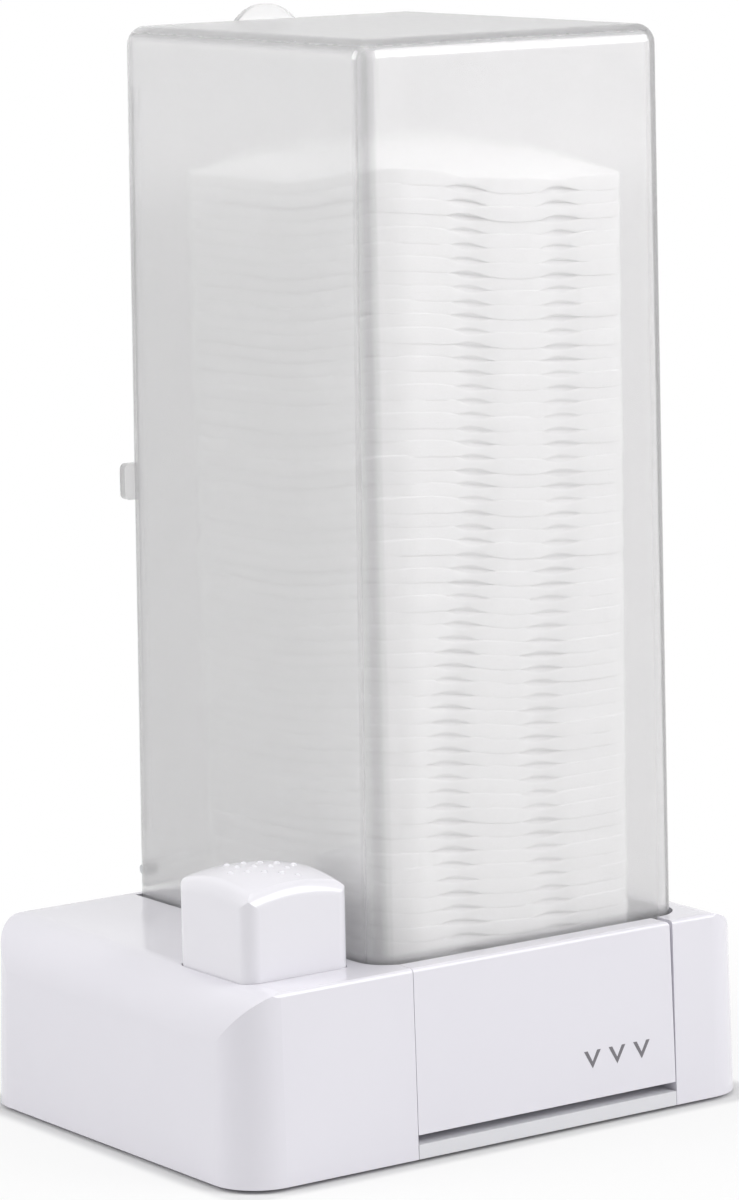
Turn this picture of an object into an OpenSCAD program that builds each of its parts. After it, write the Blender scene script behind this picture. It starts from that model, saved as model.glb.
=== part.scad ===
// Cotton pad holder with a press button: the lowest pad of the stack is pushed out of a slot in the base.
// Millimetres, +Z up, slot at the front (-Y), button at the left (-X), origin in the middle of the footprint.

/* [Show] */
// Piece to draw

/* [Base] */
// Part of the base left of the hood, where the button stands
left_land = 36.9; // [36.5:0.1:42]
// Part of the base right of the hood
right_land = 13.1; // [12.6:0.1:18]
// Part of the base in front of the hood, at its foot
front_land = 8.2; // [7.8:0.1:9]
// Height of the base top above the table
base_h = 38.4; // [38:0.1:41]
// Radius of the upright corners at the foot
corner_r = 10; // [8:0.5:12]
// Radius of the long side edges that roll into the top
roll_r = 10; // [7:0.5:12]
// Radius along the front top edge
front_edge_r = 0.9; // [0.5:0.1:1.5]
// Inward lean of the base sides, mm per mm of height
base_draft = 0.028; // [0.01:0.002:0.035]
// Wall of the base housing
base_wall = 2.3; // [2:0.1:2.6]
// Air gap under the housing rim
foot_gap = 0.8; // [0.5:0.1:1.2]
// Radius of one rubber foot
foot_r = 5; // [4:0.5:6]

/* [Front panel] */
// Left seam of the front panel, from the left wall of the hood
seam_in_left = 4; // [3.6:0.1:4.2]
// Right seam of the front panel, from the right wall of the hood
seam_in_right = 6.8; // [5.8:0.1:7]
// Gap in a seam
seam_gap = 0.15; // [0.1:0.05:0.3]
// Extra opening of the right seam at the top
seam_flare = 0.6; // [0.2:0.1:0.8]
// Underside of the outlet slot
slot_z = 3.7; // [3.6:0.1:4]
// Height of the outlet slot
slot_h = 1.9; // [1.8:0.1:2.2]

/* [Hood] */
// Hood width beyond the width of a pad
hood_room_w = 15.6; // [15:0.1:16.2]
// Hood depth beyond the length of a pad, with the rear door
hood_room_d = 16.6; // [16.4:0.1:17.4]
// Top face of the hood
hood_top = 216.3; // [200:1:240]
// Radius of the upright hood corners where they leave the base
hood_r = 5.2; // [4.6:0.6:5.2]
// Inward lean of the hood walls, mm per mm of height
hood_taper = 0.0075; // [0.004:0.0005:0.008]
// Wall of the hood
hood_wall = 2; // [1.6:0.1:2.2]
// Radius of the thumb tab on the rear door
thumb_r = 9.3; // [8:0.5:11]
// How far the thumb tab stands above the hood
thumb_rise = 3; // [2:0.5:4]
// How far left of the middle the thumb tab stands
thumb_off = 1.4; // [0:0.2:4]
// Height of the side ears on the rear door
ear_z = 124.1; // [100:1:150]
// Length of one side ear
ear_h = 7.4; // [6:0.2:10]

/* [Button] */
// Width of the button
button_w = 24.3; // [23.5:0.1:24.4]
// Depth of the button
button_d = 24.7; // [23.5:0.1:24.9]
// Middle of the button from the left end of the base
button_in = 21.1; // [21:0.1:21.3]
// Middle of the button from the front of the base
button_back = 22.7; // [22:0.1:23]
// Crown of the button above the table
button_top = 57.9; // [56:0.1:60]
// Radius of the domed button top
crown_r = 45; // [40:1:60]
// Radius of the rounded button edges
button_edge_r = 3.3; // [2.6:0.1:3.6]
// Press travel
press_travel = 11; // [9:0.5:11]
// Radius of one grip dot
pip_r = 0.75; // [0.5:0.05:0.9]
// Depth of the middle of a grip dot below the dome
pip_sunk = 0.35; // [0.1:0.05:0.4]

/* [Gear train] */
// Tooth module of both gears and both racks
tooth_module = 1; // [1:0.05:1.05]
// Teeth of the driving pinion
pinion_teeth = 12; // [12:1:13]
// Teeth of the feed gear
feed_teeth = 22; // [20:1:22]
// Pressure angle of all teeth
pressure_angle = 25; // [24:0.5:26]
// Play between meshing flanks, on each gear
flank_play = 0.12; // [0.08:0.02:0.2]
// Radius of the gear shaft
shaft_r = 2; // [1.8:0.1:2.2]
// Radial play of the shaft in its bearings
shaft_play = 0.05; // [0.03:0.01:0.08]

/* [Pads] */
// Width of a cotton pad
pad_w = 59.4; // [55:0.2:60]
// Length of a cotton pad
pad_l = 69.8; // [65:0.2:70]
// Thickness of one packed pad
pad_t = 2.7; // [2.5:0.05:3]
// Top of the stack
stack_top = 187; // [100:1:200]

/* [Hidden] */
$fn = 48;
over = 1;
hood_w = pad_w + hood_room_w;
hood_d = pad_l + hood_room_d;
base_w = left_land + hood_w + right_land;
base_d = front_land + hood_d;
half_w = base_w / 2;
front_y = -base_d / 2;
back_y = base_d / 2;
lean = atan(base_draft);
plate_t = 1.6;
plate_top = foot_gap + plate_t;
plate_inset = 0.15;
slot_top = slot_z + slot_h;
roof_under = base_h - base_wall;
hood_gap = 0.8;
hood_back = back_y - base_draft * base_h;
hood_front = hood_back - hood_d;
hood_mid_y = (hood_back + hood_front) / 2;
hood_left = left_land - half_w;
hood_right = hood_left + hood_w;
hood_x = hood_left + hood_w / 2;
seam_left = hood_left + seam_in_left;
seam_right = hood_right - seam_in_right;
button_x = button_in - half_w;
button_y = front_y + button_back;
opening_front = hood_front - 1.3;
opening_r = 7;
flange_top = roof_under - 1.6;
flange_t = 1.4;
hood_foot_h = base_h - flange_top;
hood_body_h = hood_top - flange_top;
hood_foot_w = hood_w + 2 * hood_taper * hood_foot_h;
hood_foot_d = hood_d + 2 * hood_taper * hood_foot_h;
hood_foot_r = hood_r + hood_taper * hood_foot_h;
door_t = 2.1;
door_gap = 0.12;
door_foot = base_h + 1.2;
hinge_y = hood_back - door_t;
hinge_z = base_h + 5;
step_z = hinge_z + 6.6;
step_gap = 0.5;
pin_r = 1;
pin_play = 0.05;
pin_len = 4.2;
jamb = 2.2;
ear_out = 0.9;
rim_gap = 0.3;
rim_t = 1.2;
rim_h = 1.5;
chute_play = 0.9;
chute_t = 1.5;
pad_off = 0.2;
pad_x = hood_x - pad_off;
pad_r = 4;
rib_gap = 0.6;
pad_front = hood_front + hood_wall + 1.6;
pad_back = pad_front + pad_l;
chute_left = pad_x - pad_w / 2 - chute_play;
chute_right = pad_x + pad_w / 2 + chute_play;
chute_front = pad_front - 1.2;
chute_back = pad_back + 4;
feed_z = slot_z + 0.3;
feed_t = slot_h - 0.6;
feed_top = feed_z + feed_t;
stack_foot = feed_top + 0.4;
rib_n = floor((stack_top - stack_foot) / (2 * pad_t));
button_play = 0.2;
skirt_z = roof_under - 2.7;
lip_w = 0.6;
lip_t = 2.5;
guide_t = 0.8;
guide_top = roof_under - 0.7;
button_wall = 2;
button_corner = 3;
button_roof = button_top - 3.9 - button_wall;
pinion_r = tooth_module * pinion_teeth / 2;
feed_r = tooth_module * feed_teeth / 2;
feed_travel = press_travel * feed_r / pinion_r;
tip_h = 0.9 * tooth_module;
root_h = 1.2 * tooth_module;
rack_z = plate_top + 0.1;
rack_base = 2.1;
rack_pitch_z = rack_z + rack_base + root_h;
shaft_y = button_y + 20.6;
shaft_z = rack_pitch_z + feed_r;
drive_pitch_y = shaft_y + pinion_r;
pinion_x0 = button_x - 8.7;
pinion_t = 5;
feed_x0 = chute_left - chute_t - 6;
ledge_w = 1.3;
ledge_t = 1;
bearing_t = 4;
bearing_x0 = pinion_x0 - 6.5;
bearing_x1 = button_x + 7.7;
clip_t = 0.6;
clip_bite = 0.5;
clip_play = 0.1;
clip_x0 = bearing_x0 - clip_play - clip_t;
clip_x1 = bearing_x1 + bearing_t + clip_play;
shaft_end = 0.4;
feed_gear_t = 4.2;
mesh_reach = 2.4;
drive_rack_foot = shaft_z - mesh_reach;
arm_top = skirt_z - 0.3;
arm_t = 2.8;
arm_z = arm_top - arm_t;
bar_back = drive_pitch_y + root_h + 3.5;
spring_r = 4.4;
spring_wire = 0.9;
spring_turns = 7;
spring_foot = plate_top;
spring_len = arm_z - spring_foot;
boss_r = 3;
screw_r = 1.3;
screw_head_r = 2.4;
screw_len = 11;
pilot_len = screw_len + 2;
screw_x = half_w - 9.1;
screw_y = back_y - 6.1;
foot_x = half_w - 20;
foot_y = back_y - 12;
cheek_t = 1.8;

module draft_block(w, d, h, r, t) {
  // Box with leaning sides and cone corners, foot at z 0
  rotate([90, 0, 0])
    linear_extrude(d - 2 * r, center = true)
      polygon([[-w / 2, 0], [w / 2, 0], [w / 2 - t * h, h], [t * h - w / 2, h]]);
  rotate([90, 0, 90])
    linear_extrude(w - 2 * r, center = true)
      polygon([[-d / 2, 0], [d / 2, 0], [d / 2 - t * h, h], [t * h - d / 2, h]]);
  for (sx = [-1, 1])
    for (sy = [-1, 1])
      translate([sx * (w / 2 - r), sy * (d / 2 - r), 0])
        cylinder(h = h, r1 = r, r2 = r - t * h);
}

module round_rect(w, d, r) {
  square([w - 2 * r, d], center = true);
  square([w, d - 2 * r], center = true);
  for (sx = [-1, 1])
    for (sy = [-1, 1])
      translate([sx * (w / 2 - r), sy * (d / 2 - r)])
        circle(r);
}

module round_cap(w, d, r) {
  // Upper half of a fully rounded slab, its equator at z 0
  intersection() {
    union() {
      for (sx = [-1, 1])
        for (sy = [-1, 1])
          translate([sx * (w / 2 - r), sy * (d / 2 - r), 0])
            sphere(r);
      for (sx = [-1, 1])
        translate([sx * (w / 2 - r), 0, 0])
          rotate([90, 0, 0])
            cylinder(h = d - 2 * r, r = r, center = true);
      for (sy = [-1, 1])
        translate([0, sy * (d / 2 - r), 0])
          rotate([0, 90, 0])
            cylinder(h = w - 2 * r, r = r, center = true);
      cube([w - 2 * r, d - 2 * r, 2 * r], center = true);
    }
    translate([0, 0, r])
      cube([w + over, d + over, 2 * r], center = true);
  }
}

module roll_profile(inset) {
  // Cross section left to right: leaning sides, rolled top edges
  top = base_h - inset;
  r = roll_r - inset;
  foot_x = half_w - inset / cos(lean);
  cz = top - r;
  cx = foot_x - base_draft * cz - r / cos(lean);
  tx = cx + r * cos(lean);
  tz = cz + r * sin(lean);
  polygon([[-foot_x, 0], [foot_x, 0], [tx, tz], [cx, top], [-cx, top], [-tx, tz]]);
  for (s = [-1, 1])
    translate([s * cx, cz])
      circle(r);
}

module side_profile() {
  // Cross section front to back with the crisp front edge
  cz = base_h - front_edge_r;
  cy = front_y + base_draft * cz + front_edge_r / cos(lean);
  ty = cy - front_edge_r * cos(lean);
  tz = cz + front_edge_r * sin(lean);
  polygon([[front_y, 0], [ty, tz], [cy, base_h], [-cy, base_h], [-ty, tz], [-front_y, 0]]);
  for (s = [-1, 1])
    translate([s * cy, cz])
      circle(front_edge_r);
}

module base_form() {
  intersection() {
    draft_block(base_w, base_d, base_h, corner_r, base_draft);
    rotate([90, 0, 0])
      linear_extrude(base_d + over, center = true)
        roll_profile(0);
    rotate([90, 0, 90])
      linear_extrude(base_w + over, center = true)
        side_profile();
  }
}

module base_hollow() {
  inner_d = base_d - 2 * base_wall - 2 * base_draft * base_h * 0.6;
  intersection() {
    rotate([90, 0, 0])
      linear_extrude(base_d, center = true)
        roll_profile(base_wall);
    linear_extrude(base_h)
      round_rect(base_w - 2 * base_wall, inner_d, corner_r - base_wall);
  }
}

module hood_opening() {
  // Clear outline round the hood, closed by the panel ledge in front
  w = hood_w + 2 * hood_gap;
  back = hood_back - door_t - 0.2;
  translate([hood_x, (opening_front + back) / 2, 0])
    round_rect(w, back - opening_front, opening_r);
  // Square corners at the back, where the hood walls end
  translate([hood_x - w / 2, back - 2 * opening_r])
    square([w, 2 * opening_r]);
}

module button_plan(play) {
  round_rect(button_w + 2 * play, button_d + 2 * play, button_corner + play);
}

module base_housing() {
  color([0.92, 0.92, 0.94])
  difference() {
    union() {
      difference() {
        base_form();
        base_hollow();
      }
      // Screw bosses hang from the roof
      for (sx = [-1, 1])
        for (sy = [-1, 1])
          translate([sx * screw_x, sy * screw_y, plate_top])
            cylinder(h = roof_under - 0.6 - plate_top, r = boss_r);
      // Stiffening ribs tie the bosses to the side walls
      for (sx = [-1, 1])
        for (sy = [-1, 1])
          translate([sx * (half_w - 5) - 3, sy * screw_y - 0.6, 8])
            cube([6, 1.2, 18]);
      // Cheeks that close the panel bay left and right
      for (x = [seam_left - cheek_t, seam_right])
        translate([x, front_y + base_wall, plate_top])
          cube([cheek_t, opening_front - front_y - base_wall, roof_under - plate_top + 0.5]);
    }
    // Rim cut level above the table
    translate([-base_w, -base_d, -over])
      cube([2 * base_w, 2 * base_d, over + foot_gap]);
    // Hood opening in the roof
    translate([0, 0, roof_under - over])
      linear_extrude(base_wall + 2 * over)
        hood_opening();
    // Bay for the front panel
    translate([seam_left, front_y - over, -over])
      cube([seam_right - seam_left, opening_front - front_y + over + 0.4, base_h + 2 * over]);
    // Button hole
    translate([button_x, button_y, roof_under - over])
      linear_extrude(base_wall + 2 * over)
        button_plan(button_play);
    // Pilot holes for the screws
    for (sx = [-1, 1])
      for (sy = [-1, 1])
        translate([sx * screw_x, sy * screw_y, plate_top - over])
          cylinder(h = pilot_len + over, r = screw_r);
  }
}

module base_plate() {
  color([0.86, 0.86, 0.88])
  difference() {
    union() {
      translate([0, 0, foot_gap])
        linear_extrude(plate_t)
          round_rect(base_w - 2 * base_wall - 2 * plate_inset - 0.2,
                     base_d - 2 * base_wall - 2 * base_draft * base_h * 0.6 - 2 * plate_inset,
                     corner_r - base_wall);
      // Raised pad floor with the sill that closes the bay below the slot
      translate([chute_left + 0.4, front_y + 4, foot_gap])
        cube([chute_right - chute_left - 0.8, chute_back - front_y - 4, slot_z - foot_gap]);
      translate([seam_left + seam_gap, front_y + base_draft * 2, foot_gap])
        cube([seam_right - seam_left - 2 * seam_gap, 6, slot_z - foot_gap]);
      // Seat and centring post of the return spring
      translate([button_x, button_y, plate_top])
        cylinder(h = 9, r = spring_r - spring_wire - 0.5);
      // Cross ribs under the mechanism bay
      for (y = [shaft_y + 20, shaft_y + 34])
        translate([bearing_x0, y, plate_top])
          cube([bearing_x1 - bearing_x0, 1.2, 2.4]);
    }
    for (sx = [-1, 1])
      for (sy = [-1, 1])
        translate([sx * screw_x, sy * screw_y, -over]) {
          cylinder(h = 10, r = screw_r + 0.25);
          cylinder(h = over + foot_gap + 0.9, r = screw_head_r + 0.3);
        }
    // Recesses for the rubber feet
    for (sx = [-1, 1])
      for (sy = [-1, 1])
        translate([sx * foot_x, sy * foot_y, 0])
          cylinder(h = foot_gap + 0.6, r = foot_r);
  }
}

module foot_pads() {
  color([0.25, 0.25, 0.27])
  for (sx = [-1, 1])
    for (sy = [-1, 1])
      translate([sx * foot_x, sy * foot_y, 0])
        cylinder(h = foot_gap + 0.6, r = foot_r);
}

module base_screws() {
  color([0.7, 0.7, 0.72])
  for (sx = [-1, 1])
    for (sy = [-1, 1])
      translate([sx * screw_x, sy * screw_y, foot_gap + 0.1])
        difference() {
          union() {
            cylinder(h = 0.8, r = screw_head_r);
            cylinder(h = screw_len, r = screw_r);
          }
          for (a = [0, 90])
            rotate([0, 0, a])
              cube([3.2, 0.7, 0.9], center = true);
        }
}

module panel_profile() {
  // Front plate, top ledge and slot lip, seen from the side
  cz = base_h - front_edge_r;
  cy = front_y + base_draft * cz + front_edge_r / cos(lean);
  ty = cy - front_edge_r * cos(lean);
  tz = cz + front_edge_r * sin(lean);
  plate = 2.2;
  polygon([[front_y + base_draft * slot_top, slot_top], [ty, tz], [cy, base_h], [opening_front, base_h],
    [opening_front, base_h - 2], [ty + plate + 0.6, base_h - 2], [front_y + plate + 0.3, slot_top + 1.4],
    [chute_front - chute_t, slot_top + 1.4], [chute_front - chute_t, slot_top]]);
  translate([cy, cz])
    circle(front_edge_r);
}

module front_panel() {
  x0 = seam_left + seam_gap;
  x1 = seam_right - seam_gap;
  color([0.93, 0.93, 0.95])
  intersection() {
    union() {
      translate([x0, 0, 0])
        rotate([90, 0, 90])
          linear_extrude(x1 - x0)
            panel_profile();
      // Ribs that bear on the chute
      for (x = [x0 + 8, (x0 + x1) / 2, x1 - 8])
        translate([x - 0.7, front_y + 2.4, slot_top + 1])
          cube([1.4, chute_front - chute_t - front_y - 2.4, flange_top - flange_t - slot_top - 1.2]);
      for (x = [x0 + 8, (x0 + x1) / 2, x1 - 8])
        translate([x - 0.7, front_y + 2.4, base_h - 6])
          cube([1.4, opening_front - front_y - 2.4, 5]);
    }
    // Outline from the front, its right edge leaning so that the seam widens upward
    rotate([90, 0, 0])
      linear_extrude(base_d + over, center = true) {
        polygon([[x0, 0], [x1, 0], [x1 - seam_flare, base_h - 1], [x1 - seam_flare - 1, base_h],
          [x0, base_h]]);
        translate([x1 - seam_flare - 1, base_h - 1])
          circle(1);
      }
  }
}

module pad_chute() {
  color([0.9, 0.9, 0.92])
  difference() {
    union() {
      // Tube that leads the pads from the hood to the floor
      translate([chute_left - chute_t, chute_front - chute_t, slot_top])
        cube([chute_right - chute_left + 2 * chute_t, chute_back - chute_front + 2 * chute_t,
              flange_top - slot_top]);
      // Feet on the base plate
      translate([chute_right, chute_front, plate_top])
        cube([chute_t, chute_back - chute_front, flange_top - plate_top]);
      for (y = [chute_front - chute_t, chute_back + 0.4])
        translate([chute_left - chute_t, y, plate_top])
          cube([chute_t, y < 0 ? 5 : chute_t - 0.4, slot_top]);
      // Flange that carries the hood
      translate([hood_left - 0.5, opening_front + 0.6, flange_top - flange_t])
        cube([hood_w + 0.9, hood_back - door_t - 0.6 - opening_front, flange_t]);
      // Gussets under the flange
      for (y = [chute_front + 6, 4, chute_back - 8])
        translate([chute_right, y, flange_top - 10])
          cube([5, 1.4, 10 - flange_t + 0.3]);
    }
    translate([chute_left, chute_front, -over])
      cube([chute_right - chute_left, chute_back - chute_front, base_h]);
    // Passage under the left wall and the back wall for the pusher
    translate([chute_left - chute_t - over, chute_front + 4, -over])
      cube([chute_t + 2 * over, chute_back - chute_front + over, stack_foot + 0.4 + over]);
    translate([chute_left - over, chute_back - over, -over])
      cube([chute_right - chute_left + over, chute_t + 2 * over, stack_foot + 0.4 + over]);
  }
}

module hood_shell(inset, drop, longer) {
  // Drafted body with a rounded top, its foot dropped below the flange, its back moved out by longer
  r0 = hood_foot_r - inset + hood_taper * drop;
  w0 = hood_foot_w - 2 * inset + 2 * hood_taper * drop;
  d0 = hood_foot_d - 2 * inset + 2 * hood_taper * drop + longer;
  h = hood_body_h - inset + drop;
  cap_r = (r0 - hood_taper * h) / (1 - hood_taper);
  wall_h = h - cap_r;
  translate([hood_x, hood_mid_y + longer / 2, flange_top - drop]) {
    draft_block(w0, d0, wall_h, r0, hood_taper);
    translate([0, 0, wall_h])
      round_cap(w0 - 2 * hood_taper * wall_h, d0 - 2 * hood_taper * wall_h, cap_r);
  }
}

module behind(depth) {
  // Half space behind a plane parallel to the leaning back of the hood
  translate([hood_x, hood_back - depth, base_h])
    rotate([atan(hood_taper), 0, 0])
      translate([-hood_w, 0, -hood_w])
        cube([2 * hood_w, hood_w, 2 * hood_top]);
}

module hood() {
  color([0.85, 0.88, 0.9, 0.45])
  difference() {
    hood_shell(0, 0, 0);
    // Inside, open to the back
    hood_shell(hood_wall, over, 6 * hood_wall);
    intersection() {
      behind(door_t + door_gap);
      translate([-base_w, 0, step_z - step_gap])
        cube([2 * base_w, base_d, hood_top]);
    }
    // Lower back lies inside the base wall
    translate([-base_w, hood_back - door_t - 0.2 - 0.3, 0])
      cube([2 * base_w, base_d, base_h + 0.3]);
    // Pin seats
    for (x = [hood_left + jamb - over, hood_right - jamb - over])
      translate([x, hinge_y, hinge_z])
        rotate([0, 90, 0])
          cylinder(h = 2 * over, r = pin_r);
  }
}

module rear_door() {
  x0 = hood_left + jamb + 0.15;
  narrow = hood_w - 2 * jamb - 0.3;
  top_back = hood_back - hood_taper * (hood_top - base_h);
  ear_back = hood_back - hood_taper * (ear_z - base_h);
  rim_z = step_z + 2;
  rim_x = hood_w / 2 - hood_wall - rim_gap - rim_t / 2 - 0.2;
  color([0.85, 0.88, 0.9, 0.5])
  difference() {
    union() {
      intersection() {
        hood_shell(0, 0, 0);
        behind(door_t);
        union() {
          translate([-base_w, 0, step_z])
            cube([2 * base_w, base_d, hood_top]);
          translate([x0, 0, door_foot])
            cube([narrow, base_d, step_z - door_foot + over]);
        }
      }
      // Hinge barrel between the jambs
      translate([x0, hinge_y + 0.1, hinge_z])
        rotate([0, 90, 0])
          cylinder(h = narrow, r = door_t - 0.2);
      // Leaning bars that locate the door inside the hood walls
      for (s = [-1, 1])
        translate([hood_x + s * rim_x, hood_back - door_t - 0.15, rim_z])
          rotate([atan(hood_taper), -s * atan(hood_taper), 0])
            translate([-rim_t / 2, -rim_h, 0])
              cube([rim_t, rim_h + 0.8, hood_top - rim_z - 12]);
      // Thumb tab above the hood
      translate([hood_x - thumb_off, top_back - 0.1, hood_top + thumb_rise - thumb_r])
        rotate([90, 0, 0])
          cylinder(h = door_t - 0.3, r = thumb_r);
      // Ears to pull the door open
      translate([hood_x, ear_back - 0.1, ear_z])
        rotate([90, 0, 0])
          linear_extrude(door_t - 0.3)
            round_rect(hood_w + 2 * ear_out, ear_h, 1.2);
    }
    // Chamfer and pin bores at the foot
    translate([hood_x, hood_back + 0.3, door_foot - 0.3])
      rotate([45, 0, 0])
        cube([base_w, 2, 2], center = true);
    for (x = [x0 - over, x0 + narrow - pin_len + 1.2])
      translate([x, hinge_y, hinge_z])
        rotate([0, 90, 0])
          cylinder(h = pin_len - 1.2 + over, r = pin_r + pin_play);
  }
}

module door_pins() {
  color([0.75, 0.75, 0.77])
  for (x = [hood_left + jamb - over, hood_right - jamb + over - pin_len + 0.6])
    translate([x, hinge_y, hinge_z])
      rotate([0, 90, 0])
        cylinder(h = pin_len - 0.6, r = pin_r);
}

module dome_ring(w, r) {
  // Ring segment turned about the middle of the dome: sphere outside, rounded rims
  uc = w / 2 - button_edge_r;
  arm = r - button_edge_r;
  vc = sqrt(arm * arm - uc * uc);
  deep = r / 4;
  rise = uc / vc;
  reach = r + over;
  rotate([0, -90, 0])
    rotate([0, 0, -45])
      rotate_extrude(angle = 90, $fn = 96) {
        intersection() {
          circle(r, $fn = 96);
          polygon([[0, 0], [reach, -reach * rise], [reach, reach * rise]]);
          translate([deep, -w])
            square([r, 2 * w]);
        }
        for (s = [-1, 1])
          translate([vc, s * uc])
            circle(button_edge_r);
        translate([deep, -w / 2])
          square([vc - deep, w]);
      }
}

module button_cap() {
  top_h = button_top - skirt_z;
  dome_z = button_top - crown_r;
  color([0.94, 0.94, 0.96])
  difference() {
    union() {
      translate([button_x, button_y, 0])
        intersection() {
          translate([0, 0, skirt_z])
            linear_extrude(top_h + over)
              button_plan(0);
          translate([0, 0, dome_z])
            dome_ring(button_w, crown_r);
          translate([0, 0, dome_z])
            rotate([0, 0, 90])
              dome_ring(button_d, crown_r + 0.03);
        }
      // Grip dots on the dome, three slanting rows
      for (row = [-1, 0, 1])
        for (i = [0 : 4 - (row == 0 ? 1 : 0)]) {
          k = i - (row == 0 ? 1.5 : 2);
          dx = 2.4 * k - 2 * row;
          dy = -2.2 * k - 3.6 * row;
          dz = sqrt(crown_r * crown_r - dx * dx - dy * dy) - pip_sunk;
          translate([button_x + dx, button_y + dy, dome_z + dz])
            sphere(pip_r, $fn = 24);
        }
      // Lips that stop the button under the roof
      for (s = [-1, 1])
        translate([button_x, button_y + s * (button_d / 2 + lip_w / 2 - 0.5), skirt_z + lip_t / 2])
          cube([button_w - 8, lip_w + 1, lip_t], center = true);
    }
    translate([button_x, button_y, skirt_z - over])
      linear_extrude(button_roof - skirt_z + over)
        round_rect(button_w - 2 * button_wall, button_d - 2 * button_wall, button_corner - button_wall + 0.6);
  }
}

module button_plunger() {
  arm_x = button_x - 2.6;
  color([0.82, 0.84, 0.87])
  union() {
    // Stem pressed up into the cap
    translate([button_x - 3, button_y - 3, arm_z])
      cube([6, 6, button_roof - arm_z]);
    translate([button_x, button_y, arm_z])
      cylinder(h = arm_t, r = spring_r + 1.3);
    // Arm that carries the press to the rear
    translate([arm_x, button_y, arm_z])
      cube([5, bar_back - button_y, arm_t]);
    translate([pinion_x0, drive_pitch_y + root_h, arm_z])
      cube([arm_x - pinion_x0 + over, bar_back - drive_pitch_y - root_h, arm_t]);
    // Upright rack and its guide fin
    translate([pinion_x0, drive_pitch_y + root_h, drive_rack_foot])
      cube([pinion_t, bar_back - drive_pitch_y - root_h, arm_top - drive_rack_foot]);
    translate([pinion_x0, 0, 0])
      rotate([90, 0, 90])
        linear_extrude(pinion_t)
          translate([drive_pitch_y, shaft_z])
            rotate([0, 0, 90])
              rack_teeth(0, press_travel + mesh_reach, drive_rack_foot - shaft_z, arm_z - shaft_z);
    translate([pinion_x0 + 1.7, bar_back - 0.5, drive_rack_foot])
      cube([pinion_t - 3.4, 2.2, arm_top - drive_rack_foot]);
  }
}

module button_guide() {
  // Upright sleeve round the button skirt, windows at the rear for the arm and the pinion
  w = button_w + 2 * button_play;
  d = button_d + 2 * (lip_w + button_play);
  color([0.8, 0.82, 0.85])
  translate([button_x, button_y, plate_top])
    difference() {
      linear_extrude(guide_top - plate_top)
        difference() {
          round_rect(w + 2 * guide_t, d + 2 * guide_t, button_corner + guide_t);
          round_rect(w, d, button_corner);
        }
      translate([-3.2, 0, -over])
        cube([6.2, d, guide_top]);
      translate([pinion_x0 - button_x - 0.4, 0, -over])
        cube([pinion_t + 1.2, d, shaft_z + pinion_r + tip_h]);
    }
}

module button_spring() {
  // Rectangular wire wound upward, a flat ring at each end
  wrap = 83;
  coil_h = spring_len - spring_wire;
  pitch = coil_h / spring_turns;
  inner = spring_r - spring_wire / 2;
  outer = spring_r + spring_wire / 2;
  steps = 3;
  color([0.72, 0.73, 0.75])
  translate([button_x, button_y, spring_foot]) {
    translate([0, 0, spring_wire / 2])
      linear_extrude(coil_h, twist = -360 * spring_turns, slices = 9 * spring_turns, segments = 8)
        polygon(concat(
          [for (i = [0 : steps]) outer * [cos(i * wrap / steps), sin(i * wrap / steps)]],
          [for (i = [steps : -1 : 0]) inner * [cos(i * wrap / steps), sin(i * wrap / steps)]]));
    // Closed end rings, sunk a little into the coil
    for (z = [0, spring_len - spring_wire])
      translate([0, 0, z])
        difference() {
          cylinder(h = spring_wire, r = outer + 0.1, $fn = 12);
          translate([0, 0, -over])
            cylinder(h = spring_wire + 2 * over, r = inner - 0.1, $fn = 12);
        }
  }
}

module plunger_channel() {
  // Upright behind the rack, its groove takes the guide fin
  x0 = pinion_x0 - 1;
  color([0.8, 0.82, 0.85])
  difference() {
    union() {
      translate([x0, bar_back + 0.15, plate_top])
        cube([pinion_t + 2, 4.4, arm_z - plate_top - 0.4]);
      translate([x0 - 2, bar_back + 0.15, plate_top])
        cube([pinion_t + 6, 6.4, 2]);
    }
    translate([pinion_x0 + 1.55, bar_back - over, plate_top + 0.5])
      cube([pinion_t - 3.1, 1.9 + over + 0.15, arm_z]);
  }
}

function inv_angle(a) = tan(a) * 180 / PI - a;

function flank(r, rho, teeth) =
  let (base = r * cos(pressure_angle), q = max(rho, base))
  90 / teeth - flank_play / (2 * r) * 180 / PI + inv_angle(pressure_angle) - inv_angle(acos(base / q));

module gear_form(teeth, face) {
  // Involute gear along X, one tooth centred on the +Y direction
  r = tooth_module * teeth / 2;
  base = r * cos(pressure_angle);
  root = r - root_h;
  tip = r + tip_h;
  low = max(base, root + 0.01);
  n = 5;
  rotate([90, 0, 90])
    linear_extrude(face)
      polygon([for (t = [0 : teeth - 1])
        for (s = [-1, 1])
          for (i = [0 : n + 1])
            let (j = s < 0 ? i : n + 1 - i,
                 rho = j == 0 ? root : low + (tip - low) * (j - 1) / n,
                 a = t * 360 / teeth + s * flank(r, rho, teeth))
            rho * [cos(a), sin(a)]]);
}

module rack_teeth(from, reach, low, high) {
  // Straight flanks along +X, tooth gap centred on 0, pitch line on the X axis, tips toward +Y
  pitch = PI * tooth_module;
  half = pitch / 4 - flank_play / 2;
  tip_half = half - tip_h * tan(pressure_angle);
  root_half = half + root_h * tan(pressure_angle);
  intersection() {
    for (k = [-3 : ceil(reach / pitch)])
      translate([from + (k + 0.5) * pitch, 0])
        polygon([[-root_half, -root_h - 0.3], [-root_half, -root_h], [-tip_half, tip_h], [tip_half, tip_h],
          [root_half, -root_h], [root_half, -root_h - 0.3]]);
    translate([low, -root_h - 0.3])
      square([high - low, root_h + tip_h + 0.3]);
  }
}

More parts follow.
